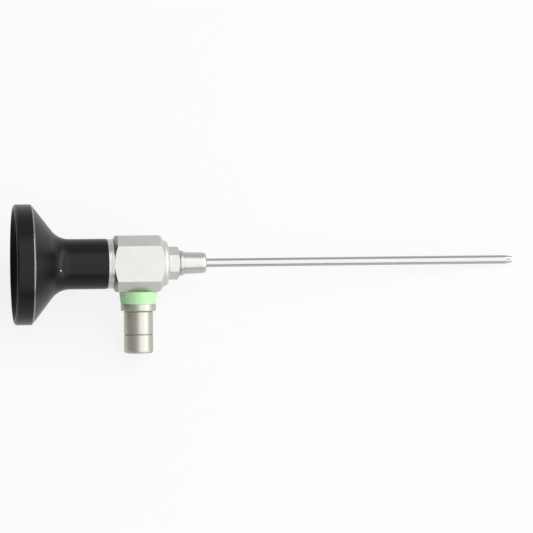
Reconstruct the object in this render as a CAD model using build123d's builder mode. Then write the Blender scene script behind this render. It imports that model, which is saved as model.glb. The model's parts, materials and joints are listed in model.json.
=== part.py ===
from build123d import *
import os
from math import acos, asin, atan2, cos, hypot, radians, sin, tan

# Rigid rod-lens otoscope with a straight view, lying at rest on a table. Millimetres.
# The pieces are drawn in the optical frame: stations run along the optical axis, from the
# eyecup's rim at 0 to the tip, and the light post stands square to it. That frame is laid
# down so that the scope rests on the flange's rear edge, the tip and the light post's end.

os.makedirs("parts", exist_ok=True)

# Clearances
fit_gap = 0.02  # between a turned piece and the bore that it screws or slides into
lens_gap = 0.01  # between a lens and its tube

# Eyecup, one moulded piece
flange_diameter = 31.75  # the standard eyepiece flange that camera couplers grip
flange_length = 4.57
flange_bevel = 0.5
flange_edge = 0.35  # rounding of the flange's rear edge
rim_width = 0.5
cup_angle = 52.2  # the cone, from the optical axis
cup_fillet = 5.9
neck_diameter = 13.3
neck_edge = 0.4
eyecup_length = 24.55
funnel_floor_diameter = 10.2
floor_wall = 2.55  # between the funnel's floor and the ocular housing
aperture_diameter = 9.0

# Index mark, a pin set flush in the cup's fillet
mark_diameter = 0.5
mark_length = 1.0
mark_inset = 2.77  # from where the fillet meets the neck, back towards the flange
mark_angle = 12.2  # from the front flat towards the light post

# Ocular housing and the lenses in it
housing_diameter = 10.4
housing_reach = 14.35  # how far the housing reaches up the eyecup
housing_wall = 1.3
housing_end_wall = 1.8
housing_gap = 0.5  # between the housing's end and the post core
window_wall = 0.7  # of the housing, round the window
window_length = 1.0
retainer_length = 0.8
retainer_width = 0.78
slot_width = 0.9
slot_depth = 0.35
window_seal_length = 0.5
spacer_wall = 0.69  # of the spacers between the lenses
front_spacer_length = 1.0
outer_lens_length = 1.8
lens_spacer_length = 1.5
inner_lens_length = 3.0
field_stop_length = 0.3
field_stop_diameter = 3.6
ocular_retainer_length = 1.2
ocular_retainer_gap = 0.2  # between the retaining ring and the optical tube's end
ocular_sag = 0.45
cup_seal_diameter = 0.7  # thickness of the seal ring in the neck
cup_seal_inset = 2.55  # from the eyecup's end

# Collar ring and body block
collar_diameter = 13.14
collar_length = 1.53
collar_groove_width = 0.14
collar_groove_depth = 0.08
collar_groove_pitch = 0.42
collar_groove_count = 3
body_height = 14.8  # along the light post
body_depth = 12.7
body_chamfer = 2.73
body_length = 14.57
rear_face_diameter = 12.8
rear_cone_angle = 60.0
shoulder_diameter = 12.1
shoulder_edge = 1.06
front_cone_angle = 53.0
front_wall = 3.55  # of the body, behind its front face
chamber_diameter = 8.4

# Sheath nut and sheath ring
nut_corner_diameter = 8.74
nut_length = 3.0
nut_washer_length = 0.65
nut_washer_diameter = 8.7
nut_face_diameter = 7.1
nut_chamfer_angle = 65.0
ring_diameter = 6.68
ring_length = 1.05
seam_width = 0.2
seam_depth = 0.14

# Sheath hub
stem_diameter = 5.2
stem_inset = 2.95  # how far the stem reaches into the body
hub_large_diameter = 5.94
hub_small_diameter = 5.44
hub_length = 6.15
hub_nose_radius = 0.85
hub_groove_width = 0.16
hub_groove_depth = 0.07
hub_groove_pitch = 0.95
hub_groove_count = 4
flare_diameter = 4.0
flare_length = 6.5

# Shaft
sheath_diameter = 2.3
sheath_wall = 0.17
sheath_seat = 4.35  # how far the sheath tube reaches into the hub
insertion_length = 83.3
nose_length = 1.9
nose_edge = 0.12  # rounding of the tip's edge, less than the sheath wall

# Optical train in the shaft
tube_diameter = 1.04
tube_wall = 0.07
tube_reach = 1.6  # how far the tube stands into the ocular housing's bore
rod_count = 6
rod_sag = 0.05
rod_spacer_length = 1.5
rod_spacer_wall = 0.1
distal_window_length = 0.5
front_objective_length = 0.8
rear_objective_length = 1.5

# Light fibres
tip_fibre_width = 0.09  # of the ring of fibres round the optical tube's tip
bundle_diameter = 1.8
bend_radius = 2.4

# Light post, lengths along the post
post_inset = 6.7  # from the body's rear face to the post's axis
core_diameter = 5.8
core_inset = 1.0  # from the upper adapter's outer end, back to the core's end
code_ring_length = 3.28
code_ring_large_diameter = 10.06
code_ring_small_diameter = 9.28
post_collar_diameter = 9.32
post_collar_length = 1.82
post_collar_edge = 0.3
post_seal_diameter = 7.2
post_seal_length = 0.2
adapter_diameter = 7.7  # of both adapters, which a light cable's socket slips over
upper_adapter_length = 5.9
adapter_groove_width = 0.12
adapter_groove_depth = 0.04
adapter_groove_pitch = 0.38
adapter_groove_count = 3
adapter_groove_inset = 0.85  # from each end of the adapter to the middle groove there
adapter_seal_diameter = 7.1
adapter_seal_length = 0.25
lower_adapter_length = 4.85
adapter_edge = 0.8
adapter_wall = 1.92
mouth_depth = 0.65  # of the cone round the ferrule, at 45 degrees
ferrule_inset = 0.4  # the ferrule's face, below the post's end
ferrule_wall = 0.42  # of the ferrule, round the light window
light_window_length = 1.0

# Stations along the optical axis
flange_radius = flange_diameter / 2
neck_radius = neck_diameter / 2
cone_end = flange_length + (flange_radius - neck_radius) / tan(radians(cup_angle))
fillet_end = cone_end + cup_fillet * tan(radians(cup_angle) / 2)
mark_station = fillet_end - mark_inset
cup_seal_station = eyecup_length - cup_seal_inset
window_depth = eyecup_length - housing_reach
funnel_depth = window_depth - floor_wall
body_start = eyecup_length + collar_length
post_station = body_start + post_inset
housing_end = post_station - core_diameter / 2 - housing_gap
tube_start = housing_end - housing_end_wall - tube_reach
body_end = body_start + body_length
chamber_end = body_end - front_wall
nut_end = body_end + nut_length
ring_end = nut_end + ring_length
hub_end = ring_end + hub_length
stem_start = body_end - stem_inset
sheath_start = hub_end - sheath_seat
tip_station = hub_end + insertion_length
nose_station = tip_station - nose_length

# Radii that several pieces share
housing_radius = housing_diameter / 2
housing_bore_radius = housing_radius - housing_wall
window_radius = housing_radius - window_wall - fit_gap
retainer_bore_radius = window_radius - retainer_width
stem_radius = stem_diameter / 2
sheath_radius = sheath_diameter / 2
sheath_bore_radius = sheath_radius - sheath_wall
tube_radius = tube_diameter / 2
tube_bore_radius = tube_radius - tube_wall
rod_radius = tube_bore_radius - lens_gap
fibre_inner = tube_radius + fit_gap
nose_bore_radius = fibre_inner + tip_fibre_width + fit_gap
nose_radius = nose_bore_radius + sheath_wall
core_radius = core_diameter / 2
bundle_radius = bundle_diameter / 2
bundle_offset = fibre_inner + bundle_radius
adapter_radius = adapter_diameter / 2
ferrule_bore = adapter_radius - adapter_wall
ferrule_radius = ferrule_bore - fit_gap
light_window_radius = ferrule_radius - ferrule_wall - lens_gap

# Distances along the light post, from the optical axis
code_ring_start = body_height / 2
post_collar_start = code_ring_start + code_ring_length
post_seal_start = post_collar_start + post_collar_length
upper_adapter_start = post_seal_start + post_seal_length
adapter_seal_start = upper_adapter_start + upper_adapter_length
lower_adapter_start = adapter_seal_start + adapter_seal_length
post_end = lower_adapter_start + lower_adapter_length
ferrule_end = post_end - ferrule_inset
light_window_start = ferrule_end - light_window_length
core_start = bundle_offset + bend_radius + fit_gap
core_end = adapter_seal_start - core_inset

# Pitch: the floor touches the flange's rounded rear edge and the sheath where the nose starts
edge_station = flange_length - flange_edge * tan(radians(cup_angle) / 2)
edge_radius = flange_radius - flange_edge
drop = edge_radius - sheath_radius
run = nose_station - edge_station
pitch = acos(-flange_edge / hypot(drop, run)) - atan2(run, drop)
rest_height = edge_station * sin(pitch) + edge_radius * cos(pitch) + flange_edge

# Roll: the scope turns about its optical axis until the light post's rounded end touches too
reach = post_end - adapter_edge
rim_radius = adapter_radius - adapter_edge
fall = rest_height - adapter_edge - post_station * sin(pitch)
dip = sin(asin(fall / hypot(reach, rim_radius)) - atan2(rim_radius, reach))
roll = asin(dip / cos(pitch))

# The optical frame, with the middle of the laid-down scope over the origin
low_x = -(flange_radius - flange_bevel) * sin(pitch)
high_x = (tip_station - nose_edge) * cos(pitch) + (nose_radius - nose_edge) * sin(pitch) + nose_edge
low_y = -(reach * cos(roll) + rim_radius * sin(roll) + adapter_edge)
high_y = flange_radius
optical = Plane(
    origin=(-(low_x + high_x) / 2, -(low_y + high_y) / 2, rest_height),
    x_dir=(cos(pitch), 0, -sin(pitch)),
    z_dir=(cos(roll) * sin(pitch), -sin(roll), cos(roll) * cos(pitch)),
)
optical_axis = Axis(optical.origin, optical.x_dir)

# The post frame: its X runs out along the light post, its Y along the optical axis
post = Plane(
    origin=optical.from_local_coords((post_station, 0, 0)),
    x_dir=-optical.y_dir,
    z_dir=optical.z_dir,
)
post_axis = Axis(post.origin, post.x_dir)


def across(station):
    """The plane square to the optical axis, with its X along the body's height."""
    origin = optical.from_local_coords((station, 0, 0))
    return Plane(origin=origin, x_dir=optical.y_dir, z_dir=optical.x_dir)


def section(*points):
    """A closed half section, its points given as (station, radius)."""
    Polygon(*points, align=None)


def tube_section(start, end, inner, outer):
    """The half section of a plain ring or tube."""
    section((start, inner), (end, inner), (end, outer), (start, outer))


def groove_sections(middle, radius, count, spacing, width, depth):
    """Small rectangles that cut a row of fine turned grooves at a radius."""
    with Locations((middle, radius)):
        with GridLocations(spacing, 0, count, 1):
            Rectangle(width, 2 * depth)


def finish_piece(piece, label):
    """Name a finished piece and write its STEP file."""
    piece.part.label = label
    export_step(piece.part, f"parts/{label}.step")


def fillet_surface(station):
    """The radius of the eyecup's outside at a station on its fillet."""
    return neck_radius + cup_fillet - (cup_fillet**2 - (fillet_end - station) ** 2) ** 0.5


def mark_plane(radius):
    """The plane of the index mark's pin, at a radius, facing out of the eyecup."""
    out = optical.z_dir * cos(radians(mark_angle)) - optical.y_dir * sin(radians(mark_angle))
    origin = optical.from_local_coords((mark_station, 0, 0)) + out * radius
    return Plane(origin=origin, x_dir=optical.x_dir, z_dir=out)


def face_arc(station, land_radius, bulge):
    """Half of a lens face, from its land in to its vertex. The bulge is along the axis."""
    sphere_radius = (bulge**2 + land_radius**2) / (2 * abs(bulge))
    half_depth = sphere_radius - (sphere_radius**2 - (land_radius / 2) ** 2) ** 0.5
    vertex = station + bulge
    halfway = vertex - half_depth if bulge > 0 else vertex + half_depth
    ThreePointArc((station, land_radius), (halfway, land_radius / 2), (vertex, 0))


def lens(start, end, radius, land_radius, front_bulge, back_bulge):
    """A lens with a flat land round each face, where the spacers bear."""
    with BuildPart() as glass:
        with BuildSketch(optical):
            with BuildLine():
                face_arc(start, land_radius, -front_bulge)
                Polyline((start, land_radius), (start, radius), (end, radius), (end, land_radius))
                face_arc(end, land_radius, back_bulge)
                Line((end + back_bulge, 0), (start - front_bulge, 0))
            make_face()
        revolve(axis=optical_axis)
    return glass


# Eyecup
seat_bore = housing_radius + fit_gap
mark_floor = fillet_surface(mark_station) - mark_length
with BuildSketch(optical) as cup_outline:
    with BuildLine():
        FilletPolyline(
            (0, 0),
            (0, flange_radius - flange_bevel),
            (flange_bevel, flange_radius),
            (flange_length, flange_radius),
            (cone_end, neck_radius),
            (eyecup_length, neck_radius),
            (eyecup_length, 0),
            radius=(0, 0, 0, flange_edge, cup_fillet, neck_edge, 0),
            close=True,
        )
    make_face()
with BuildPart() as eyecup:
    revolve(cup_outline.sketch, axis=optical_axis)
    with BuildSketch(optical):
        section(
            (0, 0),
            (0, flange_radius - flange_bevel - rim_width),
            (funnel_depth, funnel_floor_diameter / 2),
            (funnel_depth, aperture_diameter / 2),
            (window_depth, aperture_diameter / 2),
            (window_depth, seat_bore),
            (eyecup_length, seat_bore),
            (eyecup_length, 0),
        )
    revolve(axis=optical_axis, mode=Mode.SUBTRACT)
    with BuildSketch(mark_plane(mark_floor)):
        Circle(mark_diameter / 2)
    extrude(amount=neck_radius, mode=Mode.SUBTRACT)
finish_piece(eyecup, "eyecup")

# Index mark, its top flush with the eyecup's fillet
with BuildPart() as index_mark:
    with BuildSketch(mark_plane(mark_floor)):
        Circle(mark_diameter / 2)
    extrude(amount=neck_radius)
    revolve(cup_outline.sketch, axis=optical_axis, mode=Mode.INTERSECT)
finish_piece(index_mark, "index_mark")

# Ocular housing, the steel sleeve that carries the eyecup and screws into the body
window_start = window_depth + retainer_length
window_seal_start = window_start + window_length
bore_start = window_seal_start + window_seal_length
cup_groove_width = cup_seal_diameter + 2 * fit_gap
cup_groove_depth = cup_seal_diameter + fit_gap
with BuildPart() as ocular_housing:
    with BuildSketch(optical):
        tube_section(window_depth, housing_end, 0, housing_radius)
    revolve(axis=optical_axis)
    with BuildSketch(optical):
        section(
            (window_depth, 0),
            (window_depth, window_radius + fit_gap),
            (bore_start, window_radius + fit_gap),
            (bore_start, housing_bore_radius),
            (housing_end - housing_end_wall, housing_bore_radius),
            (housing_end - housing_end_wall, tube_radius + fit_gap),
            (housing_end, tube_radius + fit_gap),
            (housing_end, 0),
        )
    revolve(axis=optical_axis, mode=Mode.SUBTRACT)
    with BuildSketch(optical):
        with Locations((cup_seal_station, housing_radius)):
            Rectangle(cup_groove_width, 2 * cup_groove_depth)
    revolve(axis=optical_axis, mode=Mode.SUBTRACT)
finish_piece(ocular_housing, "ocular_housing")

# Eyecup seal ring, in the housing's groove
with BuildPart() as eyecup_seal_ring:
    with BuildSketch(optical):
        with Locations((cup_seal_station, housing_radius - cup_seal_diameter / 2)):
            Circle(cup_seal_diameter / 2)
    revolve(axis=optical_axis)
finish_piece(eyecup_seal_ring, "eyecup_seal_ring")

# Window retaining ring, with two slots for a pin spanner
with BuildPart() as window_retaining_ring:
    with BuildSketch(optical):
        tube_section(window_depth, window_start, retainer_bore_radius, window_radius)
    revolve(axis=optical_axis)
    with BuildSketch(across(window_depth)):
        Rectangle(slot_width, 2 * window_radius)
    extrude(amount=slot_depth, mode=Mode.SUBTRACT)
finish_piece(window_retaining_ring, "window_retaining_ring")

# Eyepiece window, a flat sapphire disc
with BuildPart() as eyepiece_window:
    with BuildSketch(across(window_start)):
        Circle(window_radius)
    extrude(amount=window_length)
finish_piece(eyepiece_window, "eyepiece_window")

# Window seal ring
with BuildPart() as window_seal_ring:
    with BuildSketch(optical):
        tube_section(window_seal_start, bore_start, retainer_bore_radius, window_radius)
    revolve(axis=optical_axis)
finish_piece(window_seal_ring, "window_seal_ring")

# Ocular lenses and what spaces them, one after the other down the housing's bore
ocular_radius = housing_bore_radius - lens_gap
ocular_land = ocular_radius - spacer_wall
outer_lens_start = bore_start + front_spacer_length
lens_spacer_start = outer_lens_start + outer_lens_length
inner_lens_start = lens_spacer_start + lens_spacer_length
barrel_start = inner_lens_start + inner_lens_length
ocular_retainer_end = tube_start - ocular_retainer_gap
ocular_retainer_start = ocular_retainer_end - ocular_retainer_length
field_stop_start = ocular_retainer_start - field_stop_length

with BuildPart() as ocular_front_spacer:
    with BuildSketch(optical):
        tube_section(bore_start, outer_lens_start, ocular_land, ocular_radius)
    revolve(axis=optical_axis)
finish_piece(ocular_front_spacer, "ocular_front_spacer")

ocular_outer_lens = lens(
    outer_lens_start, lens_spacer_start, ocular_radius, ocular_land, ocular_sag, ocular_sag
)
finish_piece(ocular_outer_lens, "ocular_outer_lens")

with BuildPart() as ocular_lens_spacer:
    with BuildSketch(optical):
        tube_section(lens_spacer_start, inner_lens_start, ocular_land, ocular_radius)
    revolve(axis=optical_axis)
finish_piece(ocular_lens_spacer, "ocular_lens_spacer")

ocular_inner_lens = lens(
    inner_lens_start, barrel_start, ocular_radius, ocular_land, ocular_sag, -ocular_sag
)
finish_piece(ocular_inner_lens, "ocular_inner_lens")

with BuildPart() as ocular_barrel:
    with BuildSketch(optical):
        tube_section(barrel_start, field_stop_start, ocular_land, ocular_radius)
    revolve(axis=optical_axis)
finish_piece(ocular_barrel, "ocular_barrel")

with BuildPart() as field_stop:
    with BuildSketch(across(field_stop_start)):
        Circle(ocular_radius)
        Circle(field_stop_diameter / 2, mode=Mode.SUBTRACT)
    extrude(amount=field_stop_length)
finish_piece(field_stop, "field_stop")

with BuildPart() as ocular_retaining_ring:
    with BuildSketch(optical):
        tube_section(ocular_retainer_start, ocular_retainer_end, ocular_land, ocular_radius)
    revolve(axis=optical_axis)
    with BuildSketch(across(ocular_retainer_end)):
        Rectangle(slot_width, 2 * ocular_radius)
    extrude(amount=-slot_depth, mode=Mode.SUBTRACT)
finish_piece(ocular_retaining_ring, "ocular_retaining_ring")

# Collar ring, with fine turned grooves, between the eyecup and the body
collar_radius = collar_diameter / 2
with BuildPart() as collar_ring:
    with BuildSketch(optical):
        tube_section(eyecup_length, body_start, seat_bore, collar_radius)
    revolve(axis=optical_axis)
    with BuildSketch(optical):
        groove_sections(
            eyecup_length + collar_length / 2,
            collar_radius,
            collar_groove_count,
            collar_groove_pitch,
            collar_groove_width,
            collar_groove_depth,
        )
    revolve(axis=optical_axis, mode=Mode.SUBTRACT)
finish_piece(collar_ring, "collar_ring")

# Body block: a bar with chamfered corners, turned to a cone at its rear end, and to a cone
# and a rounded shoulder at its front end, then bored for the optics and for the light post
shoulder_radius = shoulder_diameter / 2
front_face_radius = shoulder_radius - shoulder_edge
rear_face_radius = rear_face_diameter / 2
turning_radius = hypot(body_height, body_depth) / 2
rear_cone_length = (turning_radius - rear_face_radius) / tan(radians(rear_cone_angle))
front_cone_length = (turning_radius - shoulder_radius) / tan(radians(front_cone_angle))
chamber_radius = chamber_diameter / 2
with BuildPart() as body_block:
    with BuildSketch(across(body_start)) as bar:
        Rectangle(body_height, body_depth)
        chamfer(bar.vertices(), body_chamfer)
    extrude(amount=body_length)
    with BuildSketch(optical):
        with BuildLine():
            Polyline(
                (body_end - shoulder_edge, shoulder_radius),
                (body_end - shoulder_edge - front_cone_length, turning_radius),
                (body_start + rear_cone_length, turning_radius),
                (body_start, rear_face_radius),
                (body_start, 0),
                (body_end, 0),
                (body_end, front_face_radius),
            )
            TangentArc(
                (body_end, front_face_radius),
                (body_end - shoulder_edge, shoulder_radius),
                tangent=(0, 1),
            )
        make_face()
    revolve(axis=optical_axis, mode=Mode.INTERSECT)
    with BuildSketch(optical):
        section(
            (body_start, 0),
            (body_start, seat_bore),
            (housing_end, seat_bore),
            (housing_end, chamber_radius),
            (chamber_end, chamber_radius),
            (chamber_end, stem_radius + fit_gap),
            (body_end, stem_radius + fit_gap),
            (body_end, 0),
        )
    revolve(axis=optical_axis, mode=Mode.SUBTRACT)
    with BuildSketch(post):
        tube_section(0, body_height, 0, core_radius + fit_gap)
    revolve(axis=post_axis, mode=Mode.SUBTRACT)
finish_piece(body_block, "body_block")

# Sheath nut: a hexagon with a washer face towards the body and a turned chamfer in front
nut_face_radius = nut_face_diameter / 2
nut_cone_radius = nut_face_radius + nut_length * tan(radians(nut_chamfer_angle))
with BuildPart() as sheath_nut:
    with BuildSketch(across(body_end)):
        RegularPolygon(nut_corner_diameter / 2, 6)
    extrude(amount=nut_length)
    with BuildSketch(optical):
        section((body_end, 0), (body_end, nut_cone_radius), (nut_end, nut_face_radius), (nut_end, 0))
    revolve(axis=optical_axis, mode=Mode.INTERSECT)
    with BuildSketch(across(body_end)):
        Circle(nut_washer_diameter / 2)
    extrude(amount=nut_washer_length)
    with BuildSketch(across(body_end)):
        Circle(stem_radius + fit_gap)
    extrude(amount=nut_length, mode=Mode.SUBTRACT)
finish_piece(sheath_nut, "sheath_nut")

# Sheath ring, undercut where it meets the nut, which leaves a dark seam
ring_radius = ring_diameter / 2
with BuildPart() as sheath_ring:
    with BuildSketch(optical):
        section(
            (nut_end, stem_radius + fit_gap),
            (nut_end, ring_radius - seam_depth),
            (nut_end + seam_width, ring_radius - seam_depth),
            (nut_end + seam_width, ring_radius),
            (ring_end, ring_radius),
            (ring_end, stem_radius + fit_gap),
        )
    revolve(axis=optical_axis)
finish_piece(sheath_ring, "sheath_ring")

# Sheath hub: a stem inside the body, the nut and the ring, and the tapered nose in front
hub_large_radius = hub_large_diameter / 2
hub_small_radius = hub_small_diameter / 2
flare_radius = flare_diameter / 2
with BuildPart() as sheath_hub:
    with BuildSketch(optical):
        with BuildLine():
            FilletPolyline(
                (stem_start, 0),
                (stem_start, stem_radius),
                (ring_end, stem_radius),
                (ring_end, hub_large_radius),
                (hub_end, hub_small_radius),
                (hub_end, 0),
                radius=(0, 0, 0, 0, hub_nose_radius, 0),
                close=True,
            )
        make_face()
    revolve(axis=optical_axis)
    with BuildSketch(optical):
        section(
            (stem_start, 0),
            (stem_start, flare_radius),
            (stem_start + flare_length, sheath_bore_radius),
            (sheath_start, sheath_bore_radius),
            (sheath_start, sheath_radius + fit_gap),
            (hub_end, sheath_radius + fit_gap),
            (hub_end, 0),
        )
    revolve(axis=optical_axis, mode=Mode.SUBTRACT)
    with BuildSketch(optical):
        groove_sections(
            ring_end + hub_length / 2,
            (hub_large_radius + hub_small_radius) / 2,
            hub_groove_count,
            hub_groove_pitch,
            hub_groove_width,
            hub_groove_depth,
        )
    revolve(axis=optical_axis, mode=Mode.SUBTRACT)
finish_piece(sheath_hub, "sheath_hub")

# Sheath tube, the thin steel shaft, drawn in to a nose at the tip
with BuildPart() as sheath_tube:
    with BuildSketch(optical):
        with BuildLine():
            FilletPolyline(
                (sheath_start, sheath_bore_radius),
                (sheath_start, sheath_radius),
                (nose_station, sheath_radius),
                (tip_station, nose_radius),
                (tip_station, nose_bore_radius),
                (nose_station, sheath_bore_radius),
                radius=(0, 0, 0, nose_edge, 0, 0),
                close=True,
            )
        make_face()
    revolve(axis=optical_axis)
finish_piece(sheath_tube, "sheath_tube")

# Optical tube, from the ocular to the tip
with BuildPart() as optical_tube:
    with BuildSketch(optical):
        tube_section(tube_start, tip_station, tube_bore_radius, tube_radius)
    revolve(axis=optical_axis)
finish_piece(optical_tube, "optical_tube")

# Objective, behind the distal window
window_back = tip_station - distal_window_length
front_objective_back = window_back - front_objective_length
rear_objective_back = front_objective_back - rear_objective_length
rod_land = rod_radius - rod_spacer_wall
with BuildPart() as distal_window:
    with BuildSketch(across(window_back)):
        Circle(rod_radius)
    extrude(amount=distal_window_length)
finish_piece(distal_window, "distal_window")

front_objective_lens = lens(
    front_objective_back, window_back, rod_radius, rod_land, -rod_sag, -rod_sag
)
finish_piece(front_objective_lens, "front_objective_lens")

rear_objective_lens = lens(
    rear_objective_back, front_objective_back, rod_radius, rod_land, rod_sag, rod_sag
)
finish_piece(rear_objective_lens, "rear_objective_lens")

# Rod lenses, each with a spacer tube on its tip side, down to the ocular end of the tube
relay_pitch = (rear_objective_back - tube_start) / rod_count
for number in range(1, rod_count + 1):
    spacer_end = rear_objective_back - (number - 1) * relay_pitch
    rod_end = spacer_end - rod_spacer_length
    rod_start = spacer_end - relay_pitch
    with BuildPart() as rod_spacer:
        with BuildSketch(optical):
            tube_section(rod_end, spacer_end, rod_land, rod_radius)
        revolve(axis=optical_axis)
    finish_piece(rod_spacer, f"rod_spacer_{number}")

    rod_lens = lens(rod_start, rod_end, rod_radius, rod_land, rod_sag, rod_sag)
    finish_piece(rod_lens, f"rod_lens_{number}")

# Light fibres: a sleeve round the optical tube, flared in the hub's stem, gathered into a
# bundle beside the tube and bent round to run down the light post
fibre_outer = sheath_bore_radius - fit_gap
with BuildPart() as light_fibres:
    with BuildSketch(optical):
        section(
            (stem_start, fibre_inner),
            (stem_start, flare_radius - fit_gap),
            (stem_start + flare_length, fibre_outer),
            (nose_station, fibre_outer),
            (tip_station, nose_bore_radius - fit_gap),
            (tip_station, fibre_inner),
        )
    revolve(axis=optical_axis)
    with BuildLine(optical) as bundle_path:
        FilletPolyline(
            (stem_start, -bundle_offset),
            (post_station, -bundle_offset),
            (post_station, -light_window_start),
            radius=bend_radius,
        )
    with BuildSketch(Plane(origin=bundle_path.line @ 0, z_dir=bundle_path.line % 0)):
        Circle(bundle_radius)
    sweep(path=bundle_path.line)
finish_piece(light_fibres, "light_fibres")

# Post core, screwed into the body
with BuildPart() as post_core:
    with BuildSketch(post):
        tube_section(core_start, core_end, bundle_radius + fit_gap, core_radius)
    revolve(axis=post_axis)
finish_piece(post_core, "post_core")

# Code ring, the green plastic ring under the body
with BuildPart() as code_ring:
    with BuildSketch(post):
        section(
            (code_ring_start, core_radius + fit_gap),
            (code_ring_start, code_ring_large_diameter / 2),
            (post_collar_start, code_ring_small_diameter / 2),
            (post_collar_start, core_radius + fit_gap),
        )
    revolve(axis=post_axis)
finish_piece(code_ring, "code_ring")

# Post collar, the steel ring that clamps the code ring
with BuildPart() as post_collar:
    with BuildSketch(post):
        with BuildLine():
            FilletPolyline(
                (post_collar_start, core_radius + fit_gap),
                (post_collar_start, post_collar_diameter / 2),
                (post_seal_start, post_collar_diameter / 2),
                (post_seal_start, core_radius + fit_gap),
                radius=(0, 0, post_collar_edge, 0),
                close=True,
            )
        make_face()
    revolve(axis=post_axis)
finish_piece(post_collar, "post_collar")

# Post seal ring
with BuildPart() as post_seal_ring:
    with BuildSketch(post):
        tube_section(post_seal_start, upper_adapter_start, core_radius + fit_gap, post_seal_diameter / 2)
    revolve(axis=post_axis)
finish_piece(post_seal_ring, "post_seal_ring")

# Upper adapter, with fine turned grooves near both ends
with BuildPart() as upper_adapter:
    with BuildSketch(post):
        section(
            (upper_adapter_start, core_radius + fit_gap),
            (upper_adapter_start, adapter_radius),
            (adapter_seal_start, adapter_radius),
            (adapter_seal_start, ferrule_bore),
            (core_end, ferrule_bore),
            (core_end, core_radius + fit_gap),
        )
    revolve(axis=post_axis)
    with BuildSketch(post):
        for groove in (
            upper_adapter_start + adapter_groove_inset,
            adapter_seal_start - adapter_groove_inset,
        ):
            groove_sections(
                groove,
                adapter_radius,
                adapter_groove_count,
                adapter_groove_pitch,
                adapter_groove_width,
                adapter_groove_depth,
            )
    revolve(axis=post_axis, mode=Mode.SUBTRACT)
finish_piece(upper_adapter, "upper_adapter")

# Adapter seal ring, the dark line between the two adapters
with BuildPart() as adapter_seal_ring:
    with BuildSketch(post):
        tube_section(adapter_seal_start, lower_adapter_start, ferrule_bore, adapter_seal_diameter / 2)
    revolve(axis=post_axis)
finish_piece(adapter_seal_ring, "adapter_seal_ring")

# Lower adapter, with a rounded end and a coned mouth round the ferrule
with BuildPart() as lower_adapter:
    with BuildSketch(post):
        with BuildLine():
            FilletPolyline(
                (lower_adapter_start, ferrule_bore),
                (lower_adapter_start, adapter_radius),
                (post_end, adapter_radius),
                (post_end, ferrule_bore + mouth_depth),
                (post_end - mouth_depth, ferrule_bore),
                radius=(0, 0, adapter_edge, 0, 0),
                close=True,
            )
        make_face()
    revolve(axis=post_axis)
finish_piece(lower_adapter, "lower_adapter")

# Light ferrule, the sleeve that holds the fibres' end and the light window
with BuildPart() as light_ferrule:
    with BuildSketch(post):
        section(
            (core_end, bundle_radius + fit_gap),
            (core_end, ferrule_radius),
            (ferrule_end, ferrule_radius),
            (ferrule_end, light_window_radius + lens_gap),
            (light_window_start, light_window_radius + lens_gap),
            (light_window_start, bundle_radius + fit_gap),
        )
    revolve(axis=post_axis)
finish_piece(light_ferrule, "light_ferrule")

# Light window, the polished glass where the light cable meets the post
with BuildPart() as light_window:
    with BuildSketch(post):
        tube_section(light_window_start, ferrule_end, 0, light_window_radius)
    revolve(axis=post_axis)
finish_piece(light_window, "light_window")
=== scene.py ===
import json
import math

import bmesh
import bpy
from mathutils import Matrix, Vector


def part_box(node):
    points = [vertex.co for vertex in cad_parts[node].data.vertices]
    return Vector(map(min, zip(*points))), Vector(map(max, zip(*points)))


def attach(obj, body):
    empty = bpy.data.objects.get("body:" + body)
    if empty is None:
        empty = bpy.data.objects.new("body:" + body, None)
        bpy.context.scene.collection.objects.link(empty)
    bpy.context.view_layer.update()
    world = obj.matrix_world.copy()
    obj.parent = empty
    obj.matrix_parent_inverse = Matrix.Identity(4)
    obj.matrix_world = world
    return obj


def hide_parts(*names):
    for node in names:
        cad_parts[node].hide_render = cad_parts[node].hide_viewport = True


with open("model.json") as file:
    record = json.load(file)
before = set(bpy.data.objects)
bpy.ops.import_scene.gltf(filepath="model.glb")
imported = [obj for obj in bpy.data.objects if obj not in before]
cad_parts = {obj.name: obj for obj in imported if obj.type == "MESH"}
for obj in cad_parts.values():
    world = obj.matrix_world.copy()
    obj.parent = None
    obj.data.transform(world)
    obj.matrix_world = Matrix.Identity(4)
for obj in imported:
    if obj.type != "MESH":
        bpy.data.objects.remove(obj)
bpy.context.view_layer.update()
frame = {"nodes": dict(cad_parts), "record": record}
nodes = frame["nodes"]

# A rigid rod-lens otoscope, lying on a pale table. Lengths in this script are millimetres,
# and MM turns them into Blender's metres.
MM = 0.001

# The optical frame and the post frame, from the record's mounts
mounts = {m["name"]: m for m in frame["record"]["mounts"]}
AXIS = -Vector(mounts["eyepiece_flange"]["axis"]).normalized()
POST = Vector(mounts["light_post"]["axis"]).normalized()
flange_middle = Vector(mounts["eyepiece_flange"]["pos_m"])
rim_point = Vector(mounts["eyepiece_rim"]["pos_m"])
RIM_CENTRE = flange_middle + AXIS * (rim_point - flange_middle).dot(AXIS)
post_middle = Vector(mounts["light_post"]["pos_m"])
POST_ROOT = RIM_CENTRE + AXIS * (post_middle - RIM_CENTRE).dot(AXIS)


def axes_matrix(place, along, up):
    """The matrix of a frame with its X along an axis, its Y up and its Z square to both."""
    side = along.cross(up)
    turn = Matrix((along, up, side)).transposed().to_4x4()
    return Matrix.Translation(place) @ turn


OPTICAL = axes_matrix(RIM_CENTRE, AXIS, -POST)
LIGHT_POST = axes_matrix(POST_ROOT, POST, AXIS)

SAME_STATION = 0.01


def stations(node, place):
    """Where a CAD node's points lie in a frame, as pairs of station and radius."""
    back = place.inverted()
    points = (back @ v.co for v in nodes[node].data.vertices)
    return [(p.x / MM, math.hypot(p.y, p.z) / MM) for p in points]


def reach(node, place):
    """A CAD node's first and last station in a frame."""
    along = [s for s, r in stations(node, place)]
    return min(along), max(along)


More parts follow.
